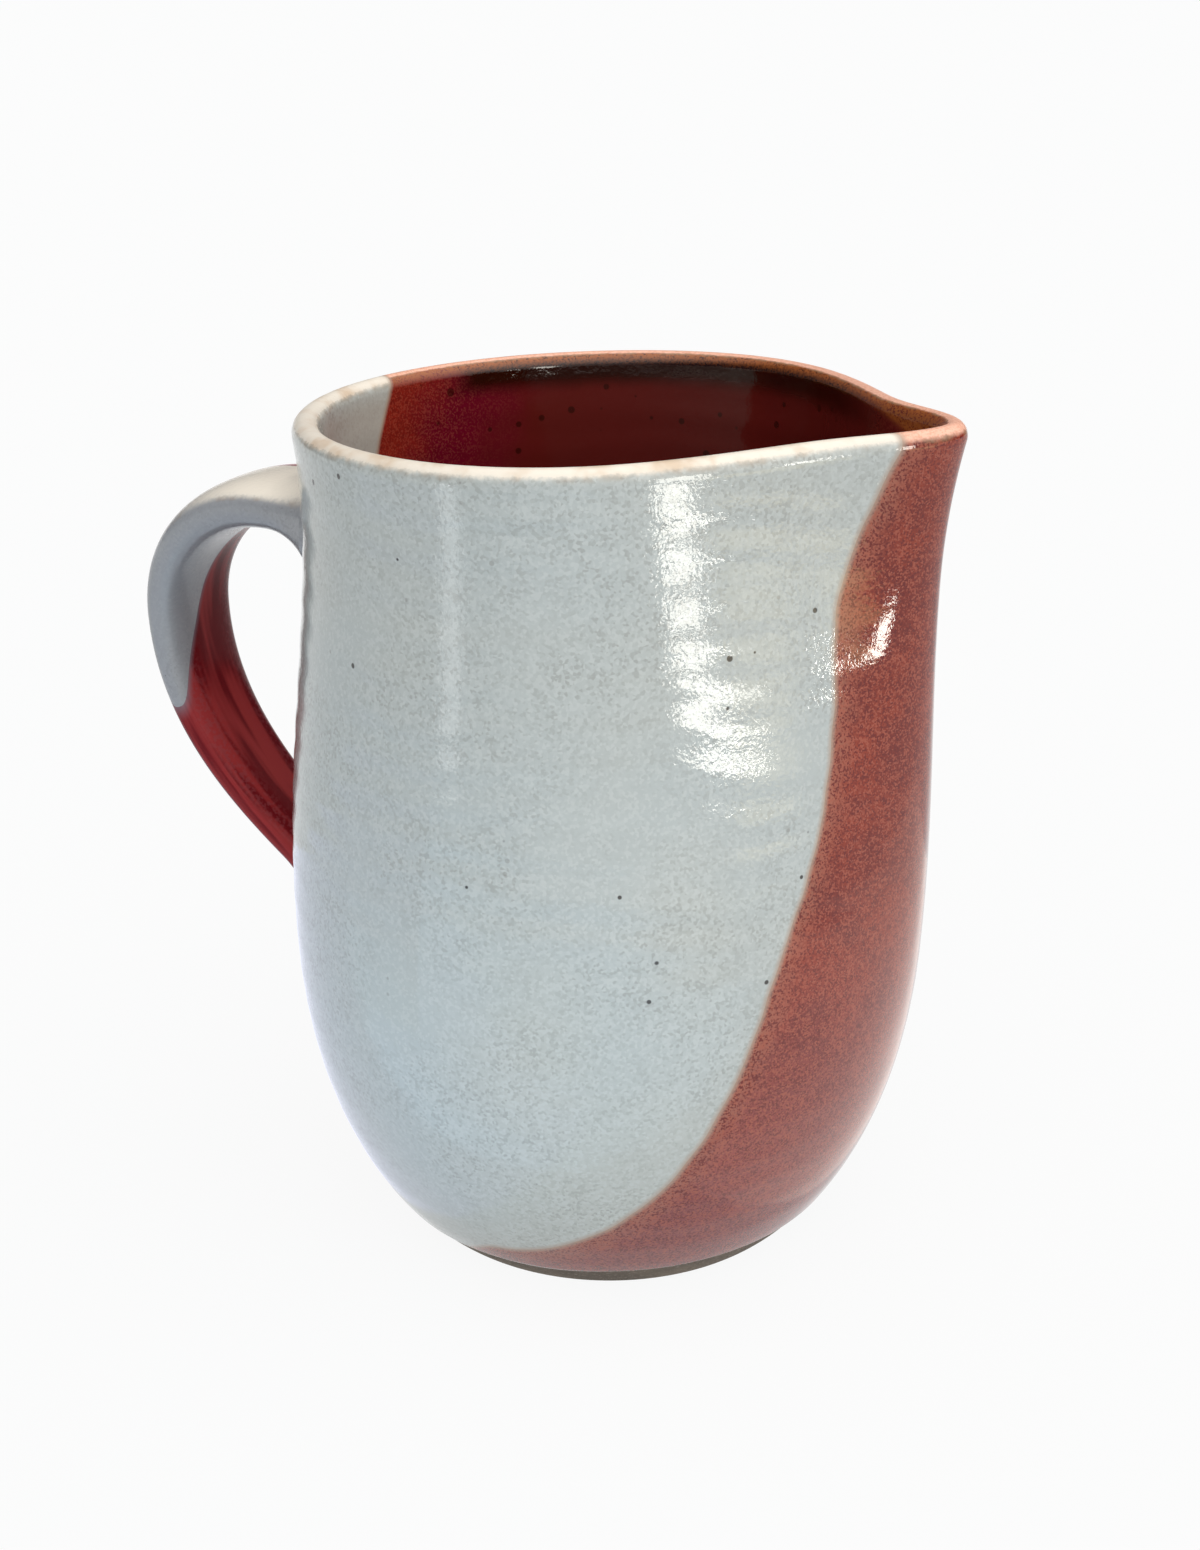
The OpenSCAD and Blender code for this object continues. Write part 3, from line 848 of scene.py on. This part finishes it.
class PITCHER_OT_body_glaze(bpy.types.Operator):
    """Coat the body with the white and the red glaze, over the throwing ridges"""

    bl_idname = "pitcher.body_glaze"
    bl_label = "Body Glazes"

    def execute(self, context):
        form, glaze = pitcher().body, pitcher().glaze
        turn = column_turns(form)
        radius, z, crest = body_profile(form, glaze.bare_foot_h, turn)
        out_r, out_z = profile_normals(radius, z)
        thick = self.thickness(glaze, crest - crest[0])[:, None]
        clay = pulled(form, radius, z, turn)
        glass = pulled(form, radius + thick * out_r, z + thick * out_z, turn)
        rows, columns = clay.shape[:2]
        floor = np.array([[0, 0, form.floor_t]])
        clay_points = np.concatenate([clay.reshape(-1, 3), floor])
        points = np.concatenate([glass.reshape(-1, 3), floor + [[0, 0, glaze.thickness]]])
        crest_all = np.append(np.repeat(crest, columns), crest[-1])
        unpulled = np.append(np.tile(self.unpulled(turn), rows), 1)
        skin = new_mesh(
            "glaze_skin",
            points,
            grid_faces(rows, columns, rows * columns),
            clay=clay_points,
            crest=crest_all,
            ridge=self.ridge_fade(crest_all, crest[0]) * unpulled,
            line=np.zeros(len(points)),
        )
        red = red_material(glaze)
        sizes = {"pitch": form.ridge_pitch, "depth": form.ridge_depth, "seed": form.ridge_seed}
        apply_tree(skin, ridge_tree(red), **sizes)
        moved = np.array([v.co[:] for v in skin.data.vertices])
        line = line_distance(glaze, moved, white_reach(moved)).astype(np.float32)
        skin.data.attributes["line"].data.foreach_set("value", line)
        white_coat, red_coat = split_glaze(skin, "white_body_glaze", "red_body_glaze")
        seat(white_coat, white_material(glaze), "white_glaze", "white_glaze_body")
        seat(red_coat, red, "red_glaze", "red_glaze_body")
        return {"FINISHED"}

    @staticmethod
    def thickness(glaze, way):
        """Even glass that thins out where it was wiped off the foot"""
        return glaze.thickness * (0.15 + 0.85 * smooth_step(way, 0, glaze.foot_feather))

    @staticmethod
    def unpulled(turn):
        """Share of the ridges that the pulling of the spout leaves"""
        return 1 - 0.95 * bell(turn, math.radians(25))

    @staticmethod
    def ridge_fade(crest, start):
        """Full ridges on the upper wall and inside, none on the lip, the foot and the floor's centre"""
        off_lip = smooth_step(np.abs(crest), 3 * MM, 11 * MM)
        off_foot = smooth_step(crest - start, 2 * MM, 12 * MM)
        off_floor = smooth_step(crest[-1] - crest, 4 * MM, 30 * MM)
        upper = 0.45 + 0.55 * smooth_step(crest, -110 * MM, -75 * MM)
        return off_lip * off_foot * off_floor * upper


class Strap:
    """Middle line, section and roots of the strap handle"""

    def __init__(self, form, strap):
        self.form = form
        self.strap = strap
        top_z = form.rim_height - strap.drop
        low_z = top_z - strap.height
        self.top = np.array([float(outer_radius(form, top_z)), top_z])
        self.low = np.array([float(outer_radius(form, low_z)), low_z])
        bow = np.array([form.belly_d / 2 + strap.reach, top_z - strap.bow_drop])
        spring = np.array([math.cos(strap.spring), math.sin(strap.spring)])
        entry = np.array([math.cos(strap.entry), math.sin(strap.entry)])
        rise, fall = np.array([0, strap.bow_lead_up]), np.array([0, strap.bow_lead_down])
        self.arches = (
            (self.top, self.top + strap.top_lead * spring, bow + rise, bow),
            (bow, bow - fall, self.low + strap.bottom_lead * entry, self.low),
        )
        self.turns = np.linspace(0, -2 * math.pi, strap.sides, endpoint=False)

    def arch(self, share):
        return (self.arches[0], 2 * share) if share < 0.5 else (self.arches[1], 2 * share - 1)

    def middle(self, share):
        (a, b, c, d), t = self.arch(share)
        return (1 - t) ** 3 * a + 3 * (1 - t) ** 2 * t * b + 3 * (1 - t) * t * t * c + t**3 * d

    def direction(self, share):
        (a, b, c, d), t = self.arch(share)
        slope = (1 - t) ** 2 * (b - a) + 2 * (1 - t) * t * (c - b) + t * t * (d - c)
        return slope / np.linalg.norm(slope)

    def root_share(self, share):
        """How much of a root's spread is left at a share of the strap"""
        middle = self.middle(share)
        away = min(np.linalg.norm(middle - self.top), np.linalg.norm(middle - self.low))
        return max(0.0, 1 - away / self.strap.root_flare_l)

    def section(self, share, grow):
        """Points round the strap at a share of its length, grown outwards"""
        strap = self.strap
        spread = strap.root_flare * self.root_share(share) ** 2 + grow
        half_t = (strap.top_t + (strap.bottom_t - strap.top_t) * share) / 2 + spread
        half_w = (strap.top_w + (strap.bottom_w - strap.top_w) * share) / 2 + spread
        cos, sin = np.cos(self.turns), np.sin(self.turns)
        off = half_t * np.sign(cos) * np.abs(cos) ** strap.roundness
        across = half_w * np.sign(sin) * np.abs(sin) ** strap.roundness
        out, up = self.middle(share)
        along = self.direction(share)
        return np.stack([-(out + off * along[1]), across, up - off * along[0]], axis=-1)

    def wall_distance(self, points):
        """Distance from the clay wall, measured level"""
        turn = np.arctan2(points[:, 1], points[:, 0])
        z = points[:, 2] - rim_rise(self.form, turn) * rise_share(self.form, points[:, 2])
        wall = outer_radius(self.form, z) + rim_pull(self.form, turn) * pull_share(self.form, z)
        return np.hypot(points[:, 0], points[:, 1]) - wall

    def ring(self, share, grow, height):
        """Ring of the strap, which leans over near a root until it stands a height off the wall"""
        root = 0.0 if share < 0.5 else 1.0
        along = self.direction(root) * (1 - 2 * root)
        outwards = np.array([-along[0], 0, along[1]])
        base = self.section(root, grow)
        slide = np.zeros(len(base))
        for _ in range(SLIDE_STEPS):
            slide += (height - self.wall_distance(base + slide[:, None] * outwards)) / abs(along[0])
        here = self.direction(share) * (1 - 2 * root)
        lean = np.array([-here[0], 0, here[1]]) * self.root_share(share)
        return self.section(share, grow) + slide[:, None] * lean

    def skin(self, grow, sink):
        """Rings from wall to wall, with a fillet at each root, and each ring's share of the strap"""
        fillet = self.strap.fillet
        bends = np.linspace(0, math.pi / 2, 11)[1:]
        count = self.strap.stations
        shares = [(1 - math.cos(math.pi * i / count)) / 2 for i in range(count + 1)]
        rings = [self.ring(share, grow, sink + fillet) for share in shares]
        for root in (0.0, 1.0):
            smoothed = [
                self.ring(root, grow + fillet * (1 - math.cos(b)), sink + fillet * (1 - math.sin(b)))
                for b in bends
            ]
            if root == 0.0:
                rings = smoothed[::-1] + rings
                shares = [0.0] * len(bends) + shares
            else:
                rings = rings + smoothed
                shares = shares + [1.0] * len(bends)
        return np.array(rings), np.array(shares)


class PITCHER_OT_strap_glaze(bpy.types.Operator):
    """Coat the strap handle with the white and the red glaze, from wall to wall"""

    bl_idname = "pitcher.strap_glaze"
    bl_label = "Handle Glazes"

    def execute(self, context):
        form, glaze = pitcher().body, pitcher().glaze
        strap = Strap(form, pitcher().strap)
        overlap = 0.2 * MM
        sink = glaze.thickness - overlap
        glass, shares = strap.skin(glaze.thickness, sink)
        rows, columns = glass.shape[:2]
        glass = glass + self.finger_marks(strap, shares, columns)
        middle = glass.mean(axis=1)
        steps = np.linalg.norm(np.diff(middle, axis=0), axis=1)
        along = np.concatenate([[0], np.cumsum(steps)])
        corner = np.abs(np.sin(2 * strap.turns)) ** 3
        points = glass.reshape(-1, 3)
        skin = new_mesh(
            "strap_skin",
            points,
            grid_faces(rows, columns),
            clay=points,
            along=np.repeat(along, columns),
            edge=np.tile(corner, rows),
            face=np.tile(np.cos(strap.turns), rows),
            line=line_distance(glaze, points, strap_reach(points)),
            upward=np.zeros(len(points)),
        )
        normals = np.zeros(len(points) * 3, np.float32)
        skin.data.vertices.foreach_get("normal", normals)
        normals = normals.reshape(-1, 3)
        backs = points - glaze.thickness * normals
        skin.data.attributes["upward"].data.foreach_set("value", normals[:, 2])
        skin.data.attributes["clay"].data.foreach_set("vector", backs.astype(np.float32).ravel())
        white_coat, red_coat = split_glaze(skin, "white_handle_glaze", "red_handle_glaze")
        seat(white_coat, strap_white_material(glaze), "white_glaze", "white_glaze_handle")
        seat(red_coat, strap_red_material(glaze), "red_glaze", "red_glaze_handle")
        return {"FINISHED"}

    @staticmethod
    def finger_marks(strap, shares, columns):
        """Shallow lengthwise hollows from pulling the strap, fading out at the roots"""
        free = np.array([1 - strap.root_share(share) for share in shares])
        hollow = -0.25 * MM * np.clip(np.cos(strap.turns), 0, None) ** 6
        depth = free[:, None] * (hollow * (1 + 0.4 * np.sin(9 * shares))[:, None])
        inward = np.array([strap.direction(share) for share in shares])
        out = np.stack([-inward[:, 1], 0 * inward[:, 0], -inward[:, 0]], axis=-1)
        return depth[:, :, None] * out[:, None, :]


class PITCHER_OT_luting(bpy.types.Operator):
    """Dress the clay strap and the slip of its two joints, which the glaze covers"""

    bl_idname = "pitcher.luting"
    bl_label = "Strap Clay and Slip"

    def execute(self, context):
        glaze = pitcher().glaze
        strap_clay = clay_material("strap_clay", glaze)
        slip = clay_material("fired_slip", glaze, 1.3)
        for node, material in (("handle", strap_clay), ("upper_slip", slip), ("lower_slip", slip)):
            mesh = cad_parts[node].data
            mesh.materials.clear()
            mesh.materials.append(material)
        return {"FINISHED"}


class PITCHER_OT_studio(bpy.types.Operator):
    """Set the camera, the lamps and the pale floor"""

    bl_idname = "pitcher.studio"
    bl_label = "Studio"

    def execute(self, context):
        studio = pitcher().studio
        self.camera(studio)
        self.lamps()
        self.world(studio)
        self.floor(studio)
        context.scene.view_settings.view_transform = "Standard"
        return {"FINISHED"}

    @staticmethod
    def camera(studio):
        a, e = studio.azimuth, studio.elevation
        back = Vector((math.sin(a) * math.cos(e), -math.cos(a) * math.cos(e), math.sin(e)))
        right = Vector((math.cos(a), math.sin(a), 0))
        up = back.cross(right)
        data = bpy.data.cameras.new("photo_view")
        data.lens = studio.lens
        data.sensor_width = 36
        data.clip_start, data.clip_end = 0.01, 100
        camera = bpy.data.objects.new("photo_view", data)
        bpy.context.scene.collection.objects.link(camera)
        place = right * studio.target_x + Vector((0, 0, studio.target_z)) + back * studio.distance
        turn = Matrix((right, up, back)).transposed().to_4x4()
        camera.matrix_world = Matrix.Translation(place) @ turn
        bpy.context.scene.camera = camera

    @staticmethod
    def lamp(name, place, turn, size, level, tone, lights_clay=False):
        """Flat lamp of a given brightness, mirrored in the glaze, which may light the surface too"""
        data = bpy.data.lights.new(name, "AREA")
        data.shape = "RECTANGLE"
        data.size, data.size_y = size[0] * MM, size[1] * MM
        data.energy = math.pi * level * data.size * data.size_y
        data.color = tone
        obj = bpy.data.objects.new(name, data)
        obj.location = Vector(place) * MM
        obj.rotation_euler = turn
        obj.visible_camera = False
        obj.visible_diffuse = lights_clay
        bpy.context.scene.collection.objects.link(obj)

    def pane(self, name, heading, distance, across, height, size, level, tone):
        """Upright lamp that faces the pitcher, given by its heading in plan"""
        turn = math.radians(heading)
        out = Vector((math.cos(turn), math.sin(turn), 0))
        side = Vector((-out.y, out.x, 0))
        place = out * distance + side * across + Vector((0, 0, height))
        self.lamp(name, place, (-out).to_track_quat("-Z", "Y").to_euler(), size, level, tone)

    def card(self, name, x, y, turn, size, level, tone, lights_clay=False):
        """Lamp that lies on the floor and faces up"""
        self.lamp(name, (x, y, 1), (math.pi, 0, math.radians(turn)), size, level, tone, lights_clay)

    def lamps(self):
        warm, cool, sun = (1.0, 0.97, 0.88), (0.95, 0.98, 1.0), (1.0, 0.80, 0.35)
        blue, pale_blue, pink = (0.36, 0.45, 1.0), (0.45, 0.75, 1.0), (1.0, 0.75, 0.62)
        window, spout, left, room = (-20, 170), (-10, 120), (-117, 170), (-8, 600)
        panes = (
            ("window_low", window, -16, 117, (44, 6), 14, warm),
            ("window_middle", window, -29, 122, (30, 10), 14, warm),
            ("window_high", window, -46, 133, (28, 20), 12, warm),
            ("window_top", window, -42, 180, (36, 56), 10, warm),
            ("spout", spout, 4, 131, (5, 6), 26, warm),
            ("throat", spout, -12, 179, (6, 16), 14, warm),
            ("left_strip", left, 22, 124, (20, 44), 2.2, cool),
            ("left_glint", left, 21, 154, (10, 12), 7, cool),
            ("right_room", room, -40, 80, (180, 80), 1.7, sun),
        )
        for name, (heading, distance), across, height, size, level, tone in panes:
            self.pane(name, heading, distance, across, height, size, level, tone)
        self.card("left_card", -226, -166, 43.8, (450, 330), 0.3, blue)
        self.card("right_card", 185, 70, 0, (250, 260), 0.4, pink)
        self.card("front_card", 0, -230, 0, (460, 280), 0.68, pale_blue, True)
        self.card("far_card", 280, -485, 30, (700, 260), 0.7, warm)

    @staticmethod
    def world(studio):
        """Soft sky that is bright above and to the right, seen as white behind the pitcher"""
        towards = Vector((0.38, -0.18, 0.908))
        world = bpy.data.worlds.new("studio")
        world.use_nodes = True
        tree = world.node_tree
        tree.nodes.clear()
        way = add_node(tree, "ShaderNodeTexCoord").outputs["Generated"]
        facing = add_node(tree, "ShaderNodeVectorMath", {0: way, 1: towards}, operation="DOT_PRODUCT")
        share = ease(tree, facing.outputs["Value"], 0.15, 1.0)
        tone = tint(tree, share, studio.shade, studio.sky)
        light = add_node(tree, "ShaderNodeBackground", {"Color": tone, "Strength": studio.sky_level})
        white = add_node(tree, "ShaderNodeBackground", {"Color": (1.0, 1.0, 1.0, 1.0)})
        rays = add_node(tree, "ShaderNodeLightPath")
        mixed = mix_shaders(tree, rays.outputs["Is Camera Ray"], light, white)
        add_node(tree, "ShaderNodeOutputWorld", {"Surface": mixed})
        bpy.context.scene.world = world

    @staticmethod
    def floor(studio):
        reach, z = 40.0, -0.3 * MM
        corners = [(-reach, -reach, z), (reach, -reach, z), (reach, reach, z), (-reach, reach, z)]
        obj = new_mesh("floor", corners, [[0, 1, 2, 3]])
        material = bpy.data.materials.new("floor")
        material.use_nodes = True
        tree = material.node_tree
        tree.nodes.clear()
        rays = add_node(tree, "ShaderNodeLightPath").outputs
        seen = calc(tree, "MAXIMUM", rays["Is Camera Ray"], rays["Is Glossy Ray"])
        shown = calc(tree, "MAXIMUM", seen, rays["Is Transmission Ray"])
        paper = add_node(tree, "ShaderNodeBsdfDiffuse", {"Color": tuple(studio.floor) + (1.0,)})
        glow = add_node(tree, "ShaderNodeEmission", {"Strength": 1.0})
        share = times(tree, shown, studio.floor_glow)
        mixed = mix_shaders(tree, share, paper, glow)
        add_node(tree, "ShaderNodeOutputMaterial", {"Surface": mixed})
        obj.data.materials.append(material)


class PITCHER_PT_sidebar(bpy.types.Panel):
    """Steps and sizes of the pitcher"""

    bl_idname = "PITCHER_PT_sidebar"
    bl_label = "Pottery Pitcher"
    bl_space_type = "VIEW_3D"
    bl_region_type = "UI"
    bl_category = "Pitcher"

    def draw(self, context):
        for step in STEPS:
            self.layout.operator(step.bl_idname)
        settings = context.scene.pitcher
        for group in (settings.body, settings.strap, settings.glaze, settings.studio):
            box = self.layout.box()
            for key in group.__annotations__:
                box.prop(group, key)


class PitcherSettings(bpy.types.PropertyGroup):
    """All sizes and colours of the pitcher and its studio"""

    body: PointerProperty(type=BodyForm, name="Body", description="Sizes of the body")
    strap: PointerProperty(type=StrapForm, name="Handle", description="Sizes of the handle")
    glaze: PointerProperty(type=GlazeFinish, name="Glaze", description="Glazes and clay")
    studio: PointerProperty(type=StudioSetup, name="Studio", description="Camera, lamps and floor")


STEPS = (
    PITCHER_OT_clay,
    PITCHER_OT_body_glaze,
    PITCHER_OT_strap_glaze,
    PITCHER_OT_luting,
    PITCHER_OT_studio,
)
CLASSES = (BodyForm, StrapForm, GlazeFinish, StudioSetup, PitcherSettings, *STEPS, PITCHER_PT_sidebar)


def register():
    for cls in CLASSES:
        bpy.utils.register_class(cls)
    bpy.types.Scene.pitcher = PointerProperty(type=PitcherSettings)


def unregister():
    del bpy.types.Scene.pitcher
    for cls in reversed(CLASSES):
        bpy.utils.unregister_class(cls)


def main():
    register()
    bpy.ops.pitcher.clay()
    bpy.ops.pitcher.body_glaze()
    bpy.ops.pitcher.strap_glaze()
    bpy.ops.pitcher.luting()
    bpy.ops.pitcher.studio()
    bpy.context.view_layer.update()


if __name__ == "__main__":
    main()
